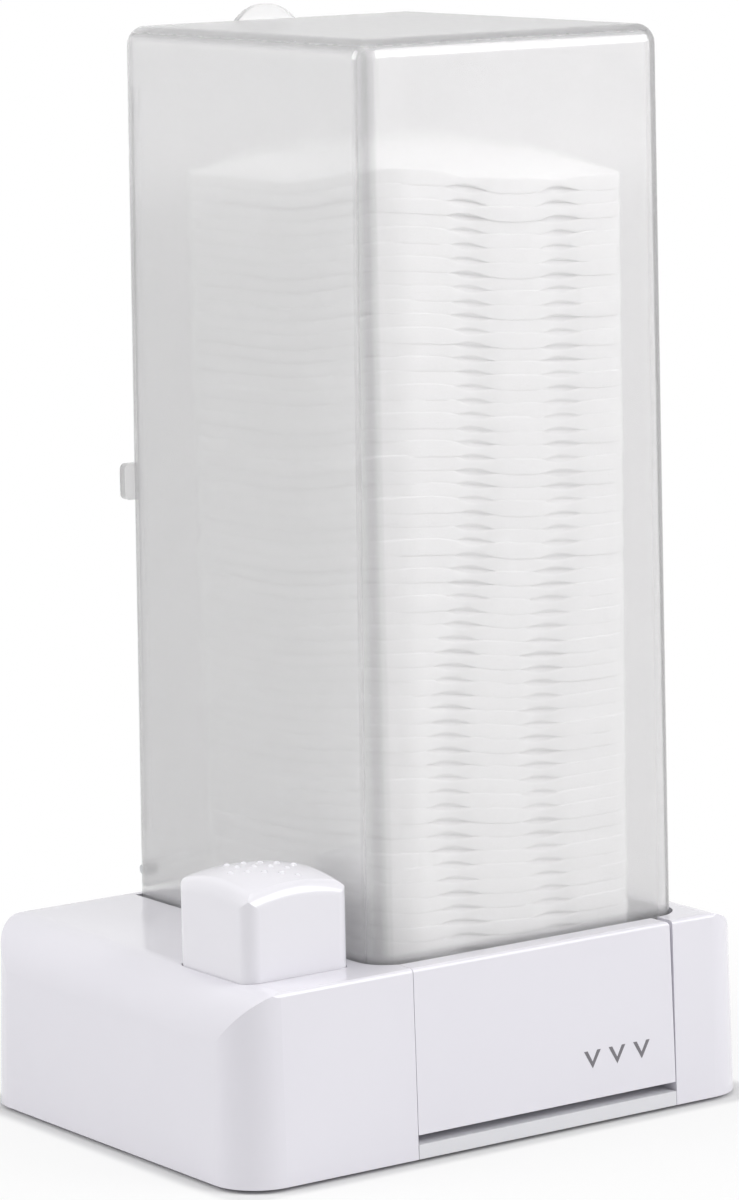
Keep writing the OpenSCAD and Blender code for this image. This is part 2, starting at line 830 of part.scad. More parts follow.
module gear_shaft() {
  x0 = clip_x0 - shaft_end;
  x1 = feed_x0 + feed_gear_t + shaft_end / 2;
  color([0.72, 0.73, 0.75])
  translate([0, shaft_y, shaft_z])
    rotate([0, 90, 0])
      difference() {
        translate([0, 0, x0])
          cylinder(h = x1 - x0, r = shaft_r);
        for (x = [clip_x0, clip_x1])
          translate([0, 0, x])
            difference() {
              cylinder(h = clip_t, r = shaft_r + over);
              translate([0, 0, -over])
                cylinder(h = clip_t + 2 * over, r = shaft_r - clip_bite);
            }
      }
}

module shaft_clips() {
  color([0.6, 0.61, 0.63])
  translate([0, shaft_y, shaft_z])
    rotate([0, 90, 0])
      for (x = [clip_x0, clip_x1])
        translate([0, 0, x])
          difference() {
            cylinder(h = clip_t, r = shaft_r + 1.4);
            translate([0, 0, -over])
              cylinder(h = clip_t + 2 * over, r = shaft_r - clip_bite);
            translate([-shaft_r + 0.7, 0, -over])
              cube([2 * shaft_r - 1.4, shaft_r + 2, clip_t + 2 * over]);
          }
}

module drive_pinion() {
  color([0.9, 0.9, 0.86])
  translate([pinion_x0, shaft_y, shaft_z])
    difference() {
      union() {
        gear_form(pinion_teeth, pinion_t);
        // Short hub, clear of the plunger arm
        translate([pinion_t - 0.2, 0, 0])
          rotate([0, 90, 0])
            cylinder(h = 1, r = shaft_r + 1.5);
      }
      translate([-over, 0, 0])
        rotate([0, 90, 0])
          cylinder(h = pinion_t + 4, r = shaft_r);
    }
}

module feed_gear() {
  web_r = (feed_r - root_h + shaft_r + 1.5) / 2;
  color([0.9, 0.9, 0.86])
  translate([feed_x0, shaft_y, shaft_z])
    rotate([-90, 0, 0])
      difference() {
        gear_form(feed_teeth, feed_gear_t);
        translate([-over, 0, 0])
          rotate([0, 90, 0])
            cylinder(h = feed_gear_t + 2 * over, r = shaft_r);
        // Lightening holes round the hub
        for (a = [0 : 60 : 300])
          rotate([a, 0, 0])
            translate([-over, web_r, 0])
              rotate([0, 90, 0])
                cylinder(h = feed_gear_t + 2 * over, r = 1.7);
      }
}

module bearing_post(x0) {
  color([0.8, 0.82, 0.85])
  translate([x0, shaft_y, 0])
    rotate([90, 0, 90])
      linear_extrude(bearing_t)
        difference() {
          union() {
            translate([0, shaft_z])
              circle(shaft_r + shaft_play + 1.5);
            polygon([[-6, plate_top], [6, plate_top], [6, plate_top + 1.6], [3.4, shaft_z], [-3.4, shaft_z],
              [-6, plate_top + 1.6]]);
          }
          translate([0, shaft_z])
            circle(shaft_r + shaft_play);
        }
}

module outer_bearing() {
  bearing_post(bearing_x0);
}

module inner_bearing() {
  bearing_post(bearing_x1);
}

module pusher_slide() {
  blade_y = pad_back + 0.35;
  blade_d = 3;
  bar_front = shaft_y - mesh_reach - 0.6;
  color([0.82, 0.84, 0.87])
  union() {
    translate([feed_x0, bar_front, rack_z])
      cube([feed_gear_t, blade_y + blade_d - bar_front, rack_base]);
    // Ledge held down by the left rail
    translate([feed_x0 - ledge_w, bar_front, rack_z])
      cube([ledge_w + 0.5, blade_y + blade_d - bar_front, ledge_t]);
    translate([feed_x0, 0, 0])
      rotate([90, 0, 90])
        linear_extrude(feed_gear_t)
          translate([shaft_y, rack_pitch_z])
            rack_teeth(0, feed_travel + mesh_reach, -mesh_reach - 0.6, feed_travel + mesh_reach + 0.6);
    // Blade behind the lowest pad
    translate([feed_x0, blade_y, feed_z - 0.1])
      cube([pad_x + pad_w / 2 - 2 - feed_x0, blade_d, feed_t + 0.1]);
    translate([feed_x0, blade_y, rack_z])
      cube([feed_gear_t, blade_d, feed_top - rack_z]);
  }
}

module slide_rails() {
  y0 = shaft_y - feed_travel - mesh_reach - 1;
  y1 = pad_back + 4;
  left = feed_x0 - ledge_w - 0.1;
  behind_guide = button_y + button_d / 2 + lip_w + button_play + guide_t + 0.4;
  color([0.8, 0.82, 0.85])
  union() {
    translate([left - 1, behind_guide, plate_top])
      cube([1, y1 - behind_guide, ledge_t + 1.2]);
    translate([left - 1, behind_guide, plate_top + ledge_t + 0.3])
      cube([ledge_w + 0.8, y1 - behind_guide, 0.9]);
    translate([feed_x0 + feed_gear_t + 0.1, y0, plate_top])
      cube([1.2, y1 - y0, feed_z - 0.3 - plate_top]);
  }
}

module pad_stack() {
  // Packed pads with a groove every few layers
  h = stack_top - stack_foot;
  rib_h = h / rib_n;
  notch = 0.5;
  mid_y = (pad_front + pad_back) / 2;
  color([0.97, 0.97, 0.96])
  translate([pad_x, mid_y, stack_foot]) {
    linear_extrude(h)
      round_rect(pad_w - 2 * notch, pad_l - 2 * notch, pad_r - notch);
    for (i = [0 : rib_n - 1])
      translate([0, 0, i * rib_h + rib_gap / 2])
        linear_extrude(rib_h - rib_gap)
          round_rect(pad_w, pad_l, pad_r);
  }
}

module feed_pad() {
  color([0.97, 0.97, 0.96])
  translate([pad_x, (pad_front + pad_back) / 2, feed_z])
    linear_extrude(feed_t)
      round_rect(pad_w, pad_l, pad_r);
}

base_housing();
base_plate();
front_panel();
foot_pads();
base_screws();
pad_chute();
hood();
rear_door();
door_pins();
button_cap();
button_plunger();
button_guide();
button_spring();
plunger_channel();
gear_shaft();
drive_pinion();
feed_gear();
outer_bearing();
inner_bearing();
shaft_clips();
pusher_slide();
slide_rails();
pad_stack();
feed_pad();
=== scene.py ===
import bpy, bmesh, math, random
from mathutils import Matrix, Vector, noise


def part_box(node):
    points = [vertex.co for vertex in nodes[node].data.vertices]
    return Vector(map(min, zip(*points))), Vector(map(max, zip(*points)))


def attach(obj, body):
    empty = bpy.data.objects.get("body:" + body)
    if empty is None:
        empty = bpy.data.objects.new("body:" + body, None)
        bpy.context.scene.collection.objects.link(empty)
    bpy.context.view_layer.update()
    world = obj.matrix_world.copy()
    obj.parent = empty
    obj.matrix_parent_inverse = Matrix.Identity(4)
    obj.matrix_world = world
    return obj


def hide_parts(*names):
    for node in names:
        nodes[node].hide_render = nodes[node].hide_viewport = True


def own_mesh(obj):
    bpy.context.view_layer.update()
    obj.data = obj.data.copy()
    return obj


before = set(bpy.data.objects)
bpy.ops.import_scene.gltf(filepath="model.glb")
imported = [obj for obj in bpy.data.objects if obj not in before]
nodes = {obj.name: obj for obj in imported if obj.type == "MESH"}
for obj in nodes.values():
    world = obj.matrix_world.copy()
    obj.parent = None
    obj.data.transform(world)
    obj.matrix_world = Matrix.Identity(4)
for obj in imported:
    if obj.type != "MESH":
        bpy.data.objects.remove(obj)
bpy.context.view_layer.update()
scene = bpy.context.scene
mm = 0.001
print("frame loaded:", len(nodes), "nodes")


# Shader wiring

class Wire:
    # One output socket that can stand in a sum
    def __init__(self, graph, socket):
        self.graph = graph
        self.socket = socket

    def maths(self, operation, first, second):
        return self.graph.add("ShaderNodeMath", {"operation": operation}, {0: first, 1: second})

    def __add__(self, other):
        return self.maths("ADD", self, other)

    def __radd__(self, other):
        return self.maths("ADD", other, self)

    def __sub__(self, other):
        return self.maths("SUBTRACT", self, other)

    def __rsub__(self, other):
        return self.maths("SUBTRACT", other, self)

    def __mul__(self, other):
        return self.maths("MULTIPLY", self, other)

    def __rmul__(self, other):
        return self.maths("MULTIPLY", other, self)


class Graph:
    # Node tree of one material or of the world
    def __init__(self, owner):
        owner.use_nodes = True
        self.tree = owner.node_tree
        self.tree.nodes.clear()

    def add(self, kind, settings=None, values=None, out=0):
        # Any node: its settings first, then a number, colour or Wire for each socket
        node = self.tree.nodes.new(kind)
        for key, value in (settings or {}).items():
            setattr(node, key, value)
        for key, value in (values or {}).items():
            if isinstance(value, Wire):
                self.tree.links.new(value.socket, node.inputs[key])
            else:
                node.inputs[key].default_value = value
        return Wire(self, node.outputs[out])

    def end(self, kind, wire, volume=None):
        node = self.tree.nodes.new(kind)
        self.tree.links.new(wire.socket, node.inputs["Surface"])
        if volume:
            self.tree.links.new(volume.socket, node.inputs["Volume"])

    def place(self, scale=(1, 1, 1)):
        raw = self.add("ShaderNodeTexCoord", out="Object")
        return self.add("ShaderNodeMapping", None, {"Vector": raw, "Scale": scale})

    def clouds(self, scale, detail=2, stretch=(1, 1, 1), rough=0.5):
        return self.add("ShaderNodeTexNoise", None, {
            "Vector": self.place(stretch),
            "Scale": scale,
            "Detail": detail,
            "Roughness": rough,
        })

    def shade(self, mask, dark, light):
        # Each end is a colour or another node's output
        ends = [end if isinstance(end, Wire) else (*end, 1) for end in (dark, light)]
        return self.add("ShaderNodeMix", {"data_type": "RGBA"},
                        {"Factor": mask, "A": ends[0], "B": ends[1]}, out=2)

    def fade(self, value, start, end, first, last, kind="SMOOTHSTEP"):
        # Goes from first to last while value goes from start to end
        return self.add("ShaderNodeMapRange", {"interpolation_type": kind},
                        {0: value, 1: start, 2: end, 3: first, 4: last})

    def bump(self, height, distance, strength):
        return self.add("ShaderNodeBump", None,
                        {"Height": height, "Distance": distance, "Strength": strength})

    def seenDirectly(self):
        # 1 for rays from the camera, off a mirror or through clear plastic
        kinds = ("Is Camera Ray", "Is Glossy Ray", "Is Transmission Ray")
        camera, glossy, through = (self.add("ShaderNodeLightPath", out=kind) for kind in kinds)
        return self.add("ShaderNodeMath", {"operation": "ADD", "use_clamp": True},
                        {0: camera + glossy, 1: through})


def newMaterial(name):
    material = bpy.data.materials.new(name)
    return material, Graph(material)


def toned(colour, share):
    return tuple(c * share for c in colour)


def dress(names, material):
    for name in names:
        data = nodes[name].data
        data.materials.clear()
        data.materials.append(material)


# Plastics of the base

gloss = {
    "shell": (0.83, 0.815, 0.87),
    "shade": (0.80, 0.785, 0.845),
    "button": (0.85, 0.84, 0.88),
    "toneScale": 38,
    "roughness": 0.2,
    "roughSpread": 0.05,
    "markScale": 90,
    "markStretch": (1, 1, 3),
    "markContrast": 0.7,
    "peelScale": 520,
    "peelDepth": 0.012 * mm,
    "peelStrength": 0.5,
    "coat": 0.35,
    "coatRoughness": 0.06,
    "ior": 1.48,
}


def glossPlastic(name, light, dark):
    # Moulded gloss: faint clouds of tone, a trace of orange peel, fine handling marks
    material, g = newMaterial(name)
    tone = g.clouds(gloss["toneScale"], 3)
    peel = g.clouds(gloss["peelScale"], 1)
    marks = g.clouds(gloss["markScale"], 5, gloss["markStretch"], gloss["markContrast"])
    rough = gloss["roughness"] + gloss["roughSpread"] * (marks - 0.5)
    skin = g.add("ShaderNodeBsdfPrincipled", None, {
        "Base Color": g.shade(tone, dark, light),
        "Roughness": rough,
        "Coat Weight": gloss["coat"],
        "Coat Roughness": gloss["coatRoughness"],
        "IOR": gloss["ior"],
        "Normal": g.bump(peel, gloss["peelDepth"], gloss["peelStrength"]),
    })
    g.end("ShaderNodeOutputMaterial", skin)
    return material


shellMaterial = glossPlastic("whiteGloss", gloss["shell"], gloss["shade"])
buttonMaterial = glossPlastic("buttonGloss", gloss["button"], gloss["shell"])

satin = {
    "floor": (0.80, 0.80, 0.83),
    "inner": (0.78, 0.79, 0.80),
    "moving": (0.66, 0.70, 0.75),
    "gear": (0.82, 0.80, 0.72),
    "darker": 0.94,
    "toneScale": 60,
    "roughness": 0.45,
    "roughSpread": 0.12,
    "grainScale": 2600,
    "grainDepth": 0.02 * mm,
    "grainStrength": 0.5,
}


def satinPlastic(name, colour):
    # Fine moulded grain, for the pieces that nobody polishes
    material, g = newMaterial(name)
    tone = g.clouds(satin["toneScale"], 3)
    grain = g.clouds(satin["grainScale"])
    skin = g.add("ShaderNodeBsdfPrincipled", None, {
        "Base Color": g.shade(tone, toned(colour, satin["darker"]), colour),
        "Roughness": satin["roughness"] + satin["roughSpread"] * (grain - 0.5),
        "Normal": g.bump(grain, satin["grainDepth"], satin["grainStrength"]),
    })
    g.end("ShaderNodeOutputMaterial", skin)
    return material


# Clear hood

clear = {
    "tint": (0.955, 0.95, 0.955),
    "haze": (0.935, 0.93, 0.935),
    # painted shade: the left wall's greyer colour, standing in for the shade on that side
    "left": (0.86, 0.858, 0.862),
    "leftWall": -21.6 * mm,
    # painted shade: dark colour of the bands on the hood's rounded edges, roof, foot and back edge,
    # standing in for refraction in the corners and shadow at the foot
    "edge": (0.30, 0.30, 0.31),
    "edgeReach": 3.4 * mm,
    "skinDepth": 0.3 * mm,
    "edgeShadeShare": 0.9,
    "roofShadeShare": 0.5,
    "roofMatt": 0.5,
    "roofRough": 0.12,
    "taper": 0.0075,
    "middle": (11.9 * mm, 3.0 * mm),
    "half": (37.5 * mm, 43.2 * mm),
    "foot": 38.4 * mm,
    "top": 216.3 * mm,
    "footReach": 1.6 * mm,
    "footShadowShare": 0.55,
    "backReach": 5.5 * mm,
    "backFade": 1 * mm,
    "backShadeShare": 0.13,
    "flowScale": 14,
    "flowStretch": (1, 1, 0.25),
    "roughness": 0.19,
    "frostScale": 420,
    "frostSpread": 0.05,
    "through": 0.74,
    "ior": 1.47,
    "coat": 0.6,
    "coatRoughness": 0.04,
    "rippleScale": 60,
    "rippleDepth": 0.02 * mm,
    "rippleStrength": 0.2,
    "lampPass": 0.9,
    "lampTint": (0.97, 0.97, 0.97),
    "smoke": (0.50, 0.50, 0.50),
    "smokeDensity": 42,
}


def paintedShadeMasks(g):
    # Masks by place on the tapering hood: painted shade bands on its rounded edges, roof, foot and the
    # back edge of its left wall; its roof; its left wall, which is painted greyer as shade
    raw = g.place()
    x, y, z = (g.add("ShaderNodeSeparateXYZ", None, {"Vector": raw}, out=axis) for axis in "XYZ")
    shrink = (z - clear["foot"]) * clear["taper"]

    def most(first, second):
        return g.add("ShaderNodeMath", {"operation": "MAXIMUM"}, {0: first, 1: second})

    def nearness(distance):  # 1 on the wall's face, 0 past the reach and on the inner face
        close = g.fade(distance, 0.0, clear["edgeReach"], 1.0, 0.0)
        return close * distance.maths("GREATER_THAN", distance, -clear["skinDepth"])

    def side(axis, k):
        away = g.add("ShaderNodeMath", {"operation": "ABSOLUTE"}, {0: axis - clear["middle"][k]})
        return nearness(clear["half"][k] - shrink - away)

    sideX, sideY, roof = side(x, 0), side(y, 1), nearness(clear["top"] - z)
    leftWall = x.maths("LESS_THAN", x, clear["leftWall"])
    foot = g.fade(z - clear["foot"], 0.0, clear["footReach"], 1.0, 0.0, "LINEAR")
    toBack = clear["middle"][1] + clear["half"][1] - shrink - y
    backEdge = clear["backReach"] - clear["backFade"]
    backBand = g.fade(toBack, clear["backReach"], backEdge, 0.0, clear["backShadeShare"])
    # painted shade bands: rounded corners, roof, foot, and the back edge of the left wall
    edges = most(sideX * sideY, roof * most(sideX, sideY))
    edges = most(edges, roof * clear["roofShadeShare"])
    edges = most(edges, foot * clear["footShadowShare"])
    edges = most(edges, backBand * leftWall)
    return edges, roof, leftWall


def hoodPlastic(name, shaded):
    # Frosted inside, glossy outside, a little smoke in the wall; lamps shine through it. When shaded,
    # painted shade greys the left wall and darkens the edges, roof and foot
    material, g = newMaterial(name)
    frost = g.clouds(clear["frostScale"], 3)
    flow = g.clouds(clear["flowScale"], 2, clear["flowStretch"])
    ripple = g.clouds(clear["rippleScale"], 1)
    body = g.shade(flow, clear["haze"], clear["tint"])
    rough = clear["roughness"] + clear["frostSpread"] * (frost - 0.5)
    coat = clear["coat"]
    if shaded:
        edges, roof, leftWall = paintedShadeMasks(g)
        # painted shade: the left wall made greyer than the rest
        body = g.shade(leftWall, body, clear["left"])
        # painted shade: dark bands along the edges, roof and foot
        body = g.shade(edges * clear["edgeShadeShare"], body, clear["edge"])
        rough = rough + clear["roofRough"] * roof
        coat = coat * (1 - clear["roofMatt"] * roof)
    skin = g.add("ShaderNodeBsdfPrincipled", None, {
        "Base Color": body,
        "Roughness": rough,
        "Transmission Weight": clear["through"],
        "IOR": clear["ior"],
        "Coat Weight": coat,
        "Coat Roughness": clear["coatRoughness"],
        "Normal": g.bump(ripple, clear["rippleDepth"], clear["rippleStrength"]),
    })
    window = g.add("ShaderNodeBsdfTransparent", None, {"Color": (*clear["lampTint"], 1)})
    lamp = g.add("ShaderNodeLightPath", out="Is Shadow Ray")
    both = g.add("ShaderNodeMixShader", None, {0: lamp * clear["lampPass"], 1: skin, 2: window})
    smoke = g.add("ShaderNodeVolumeAbsorption", None,
                  {"Color": (*clear["smoke"], 1), "Density": clear["smokeDensity"]})
    g.end("ShaderNodeOutputMaterial", both, smoke)
    return material


# Metal, rubber, ink

steel = {
    "colour": (0.62, 0.63, 0.65),
    "darker": 0.85,
    "roughness": 0.28,
    "roughSpread": 0.15,
    "scratchScale": 900,
    "scratchStretch": (0.15, 1, 1),
    "scratchDepth": 0.01 * mm,
    "scratchStrength": 0.4,
}


def drawnSteel(name):
    material, g = newMaterial(name)
    lines = g.clouds(steel["scratchScale"], 3, steel["scratchStretch"])
    skin = g.add("ShaderNodeBsdfPrincipled", None, {
        "Base Color": g.shade(lines, toned(steel["colour"], steel["darker"]), steel["colour"]),
        "Metallic": 1.0,
        "Roughness": steel["roughness"] + steel["roughSpread"] * (lines - 0.5),
        "Normal": g.bump(lines, steel["scratchDepth"], steel["scratchStrength"]),
    })
    g.end("ShaderNodeOutputMaterial", skin)
    return material


rubber = {
    "colour": (0.10, 0.10, 0.11),
    "lighter": 1.5,
    "roughness": 0.7,
    "roughSpread": 0.2,
    "grainScale": 3500,
    "grainDepth": 0.03 * mm,
    "grainStrength": 0.6,
}


def footRubber(name):
    material, g = newMaterial(name)
    grain = g.clouds(rubber["grainScale"], 3)
    skin = g.add("ShaderNodeBsdfPrincipled", None, {
        "Base Color": g.shade(grain, rubber["colour"], toned(rubber["colour"], rubber["lighter"])),
        "Roughness": rubber["roughness"] + rubber["roughSpread"] * (grain - 0.5),
        "Normal": g.bump(grain, rubber["grainDepth"], rubber["grainStrength"]),
    })
    g.end("ShaderNodeOutputMaterial", skin)
    return material


ink = {
    "colour": (0.20, 0.19, 0.21),
    "darker": 0.85,
    "roughness": 0.4,
    "roughSpread": 0.1,
    "speckScale": 5200,
    "speckDepth": 0.004 * mm,
    "speckStrength": 0.3,
}


def printInk(name):
    material, g = newMaterial(name)
    speck = g.clouds(ink["speckScale"])
    skin = g.add("ShaderNodeBsdfPrincipled", None, {
        "Base Color": g.shade(speck, toned(ink["colour"], ink["darker"]), ink["colour"]),
        "Roughness": ink["roughness"] + ink["roughSpread"] * (speck - 0.5),
        "Normal": g.bump(speck, ink["speckDepth"], ink["speckStrength"]),
    })
    g.end("ShaderNodeOutputMaterial", skin)
    return material


cotton = {
    "light": (0.96, 0.957, 0.957),
    "dark": (0.89, 0.887, 0.89),
    "fibreScale": 1500,
    "fibreStretch": (0.35, 0.35, 1.6),
    "fibreContrast": 0.65,
    "fibreShare": 0.7,
    "fibreDepth": 0.10 * mm,
    "fibreStrength": 0.7,
    "fluffScale": 5200,
    "fluffContrast": 0.7,
    "roughness": 0.9,
    "roughSpread": 0.1,
    "sheen": 0.35,
    "sheenRoughness": 0.6,
}


def cottonWool(name):
    # Pressed fibres: long soft streaks over short fluff
    material, g = newMaterial(name)
    streak = g.clouds(cotton["fibreScale"], 4, cotton["fibreStretch"], cotton["fibreContrast"])
    fluff = g.clouds(cotton["fluffScale"], 3, rough=cotton["fluffContrast"])
    height = streak * cotton["fibreShare"] + fluff * (1 - cotton["fibreShare"])
    skin = g.add("ShaderNodeBsdfPrincipled", None, {
        "Base Color": g.shade(height, cotton["dark"], cotton["light"]),
        "Roughness": cotton["roughness"] + cotton["roughSpread"] * (fluff - 0.5),
        "Sheen Weight": cotton["sheen"],
        "Sheen Roughness": cotton["sheenRoughness"],
        "Normal": g.bump(height, cotton["fibreDepth"], cotton["fibreStrength"]),
    })
    g.end("ShaderNodeOutputMaterial", skin)
    return material


steelMaterial = drawnSteel("drawnSteel")
dress(["base_housing", "front_panel"], shellMaterial)
dress(["button_cap"], buttonMaterial)
dress(["base_plate"], satinPlastic("floorSatin", satin["floor"]))
dress(["pad_chute", "button_guide", "plunger_channel", "outer_bearing", "inner_bearing",
       "slide_rails"], satinPlastic("innerSatin", satin["inner"]))
dress(["button_plunger", "pusher_slide"], satinPlastic("movingSatin", satin["moving"]))
dress(["drive_pinion", "feed_gear"], satinPlastic("gearSatin", satin["gear"]))
dress(["hood"], hoodPlastic("clearHood", True))
dress(["rear_door"], hoodPlastic("clearDoor", False))
dress(["door_pins", "gear_shaft", "shaft_clips", "base_screws"], steelMaterial)
dress(["foot_pads"], footRubber("footRubber"))
cottonMaterial = cottonWool("cottonWool")
inkMaterial = printInk("printInk")
print("materials set")


def linkPiece(name, mesh, material):
    mesh.materials.append(material)
    piece = bpy.data.objects.new(name, mesh)
    scene.collection.objects.link(piece)
    return piece


def meshPiece(name, vertices, faces, material, smooth=()):
    # Faces with a corner count in smooth are shaded smooth
    mesh = bpy.data.meshes.new(name)
    mesh.from_pydata(vertices, [], faces)
    mesh.update()
    mesh.polygons.foreach_set("use_smooth", [len(p.vertices) in smooth for p in mesh.polygons])
    return linkPiece(name, mesh, material)


# Cotton pads

padRules = {
    "count": 66,
    "seed": 7,
    "cornerRadius": 6.5 * mm,
    "step": 1.6 * mm,  # between two points of a rim
    "sideInsets": [0.0, 0.06, 0.2, 0.5, 1.0, 2.0, 3.6],  # rings of a rounded rim, mm inward
    "topInsets": [6, 10, 15, 20, 25],  # further rings of the top face
    "frontReach": 0.5 * mm,  # how far in a rim is rounded
    "sideReach": 1.5 * mm,
    "edgePower": 2.2,
    "lipShare": 0.85,
    "frontFlat": 0.965,  # flat share of a rim's height
    "sideFlat": 0.55,
    "flatLimit": 0.98,
    "flatSpread": 0.08,
    "flatScale": (45, 45, 2.3),
    "edgeBulge": 0.07 * mm,
    "bulgeRing": 0.4,
    "edgeWander": 0.08 * mm,
    "wanderScale": (160, 160, 3.1),
    "fineScale": (620, 620, 5.7),
    "fineShare": 0.5,
    "padShift": 0.14 * mm,
    "padTurn": 0.3,  # degrees
    "thinnest": 1.08,
    "thickest": 1.26,
    "wave": 0.7 * mm,
    "waveScale": (30, 30, 11),
    "waveStart": 3,
    "channelOut": 10.8 * mm,  # the two pressed channels, from the middle
    "channelWidth": 4.2 * mm,
    "channelPinch": 0.6,
    "channelDepth": 0.9 * mm,
    "channelSet": 0.8 * mm,
    "channelFacing": 3,
    "channelLean": -2.6 * mm,
    "channelSway": 3.7 * mm,
    "swayMiddle": 34,
    "swayTop": 44.5,
    "swayPads": 42,
    "channelDrift": 1.6 * mm,
    "driftScale": (5.3, 0.4, 0.11),
    "lineWidth": 1.6 * mm,  # the channels on the top face
    "lineDepth": 0.45 * mm,
    "lineRise": 2,
    "nap": 0.12 * mm,
    "napScale": 300,
    "cornerLift": 4.2 * mm,
    "cornerReach": 24 * mm,
    "liftLevels": 3,
    "dome": 7 * mm,
    "domeLevels": 14,
    "domeEdge": 4,
    "domeTilt": (0.75, 0.15, 0.1),
    "shrinkFoot": 4.5 * mm,
    "shrinkPower": 1.5,
    "shrinkShare": 0.9,
}


def roundedOutline(halfX, halfY, radius, step):
    # Points and outward directions along a rounded rectangle
    straightX = 2 * (halfX - radius)
    straightY = 2 * (halfY - radius)
    arc = math.pi / 2 * radius
    total = 2 * (straightX + straightY) + 4 * arc
    count = int(total / step)
    corners = [(1, 1), (-1, 1), (-1, -1), (1, -1)]
    points = []
    for i in range(count):
        s = i * total / count
        for k, (sx, sy) in enumerate(corners):
            side = straightY if k % 2 == 0 else straightX
            turn = k * math.pi / 2
            along = Vector((-math.sin(turn), math.cos(turn)))
            out = Vector((math.cos(turn), math.sin(turn)))
            centre = Vector((sx * (halfX - radius), sy * (halfY - radius)))
            if s < side:
                points.append((centre + out * radius - along * (side - s), out))
                break
            s -= side
            if s < arc:
                angle = turn + s / radius
                out = Vector((math.cos(angle), math.sin(angle)))
                points.append((centre + out * radius, out))
                break
            s -= arc
    return points


def cloud(scale, x, y, z):
    return noise.noise(Vector((x * scale[0], y * scale[1], z * scale[2])))


def channelDrifts(k, rules):
    # Sideways place of both channels on pad k: the stack leans and sways
    sway = math.sin(2 * math.pi * (min(k, rules["swayTop"]) - rules["swayMiddle"]) / rules["swayPads"])
    drifts = {}
    for side in (-1, 1):
        drifts[side] = rules["channelLean"] + rules["channelSway"] * sway
        drifts[side] += cloud(rules["driftScale"], side, 1, k) * rules["channelDrift"]
    return drifts


def padEdge(point, out, k, drift, rules):
    # Wander of the rim of pad k here, pinch of a pressed channel, height of the rim's flat band
    x, y = point
    wander = cloud(rules["wanderScale"], x, y, k)
    wander += cloud(rules["fineScale"], x, y, k) * rules["fineShare"]
    near = min(abs(x - side * rules["channelOut"] - drift[side]) for side in drift)
    pinch = math.exp(-(near / rules["channelWidth"]) ** 2) * abs(out.y) ** rules["channelFacing"]
    flat = rules["sideFlat"] + (rules["frontFlat"] - rules["sideFlat"]) * abs(out.y)
    flat += rules["flatSpread"] * cloud(rules["flatScale"], x, y, k)
    return wander * rules["edgeWander"], pinch, min(flat, rules["flatLimit"])


def ringPlace(point, out, edge, inset, pad, rules):
    # Place seen from above of a rim point that lies inset mm further in
    wander, pinch, _ = edge
    x, y = point
    halfX, halfY = pad["half"]
    place = point - out * (inset * mm + pinch * rules["channelSet"] - wander)
    if abs(place.x) > abs(x):
        place.x = x
    if inset > max(rules["sideInsets"]):
        scale = 1 - inset * mm / min(halfX, halfY)
        place = Vector((x * scale, y * (halfY - inset * mm) / halfY))
    if place.y > 0:
        place.y *= 1 - pad["foot"] / halfY * rules["shrinkShare"]
    return place


def ringHeight(out, edge, r, inset, pad, rules):
    # Half the pad's thickness at ring r, counted inward from the rim
    _, pinch, flat = edge
    reach = rules["sideReach"] + (rules["frontReach"] - rules["sideReach"]) * abs(out.y)
    depth = min(max(inset, 0) * mm / reach, 1.0)
    puff = (1 - (1 - depth) ** rules["edgePower"]) ** (1 / rules["edgePower"])
    puff = (0, rules["lipShare"] * flat)[r] if r < 2 else flat + (1 - flat) * puff
    hold = math.exp(-(inset * mm / rules["channelDepth"]) ** 2)
    return pad["thick"] / 2 * puff * (1 - rules["channelPinch"] * pinch * hold)


def topRelief(place, inset, drift, rules):
    # Two pressed lines and some nap on the highest pad
    away = [(place.x - side * rules["channelOut"] - drift[side]) / rules["lineWidth"] for side in drift]
    press = max(math.exp(-a ** 2) for a in away)
    nap = noise.noise(Vector((place.x * rules["napScale"], place.y * rules["napScale"], 2)))
    return rules["nap"] * nap - rules["lineDepth"] * press * min(1, inset / rules["lineRise"])


def stackLift(p, pad, rules):
    # How far the pile waves, lifts at its near corner and domes at its top
    halfX, halfY = pad["half"]
    level = pad["level"]
    u, v = p.x / halfX, p.y / halfY
    wx, wy, wz = rules["waveScale"]
    wavePlace = Vector((p.x * wx + rules["waveStart"], p.y * wy, pad["zMid"] * wz))
    wave = noise.noise(wavePlace) * rules["wave"]
    near = math.hypot(p.x + halfX, p.y + halfY) / rules["cornerReach"]
    lift = rules["cornerLift"] * math.exp(-near ** 2) * min(1, level * rules["liftLevels"])
    flat, tiltX, tiltY = rules["domeTilt"]
    crown = (1 - u ** rules["domeEdge"]) * (1 - v ** rules["domeEdge"])
    dome = rules["dome"] * level ** rules["domeLevels"] * crown * (flat + tiltX * u + tiltY * v)
    return wave + lift + dome


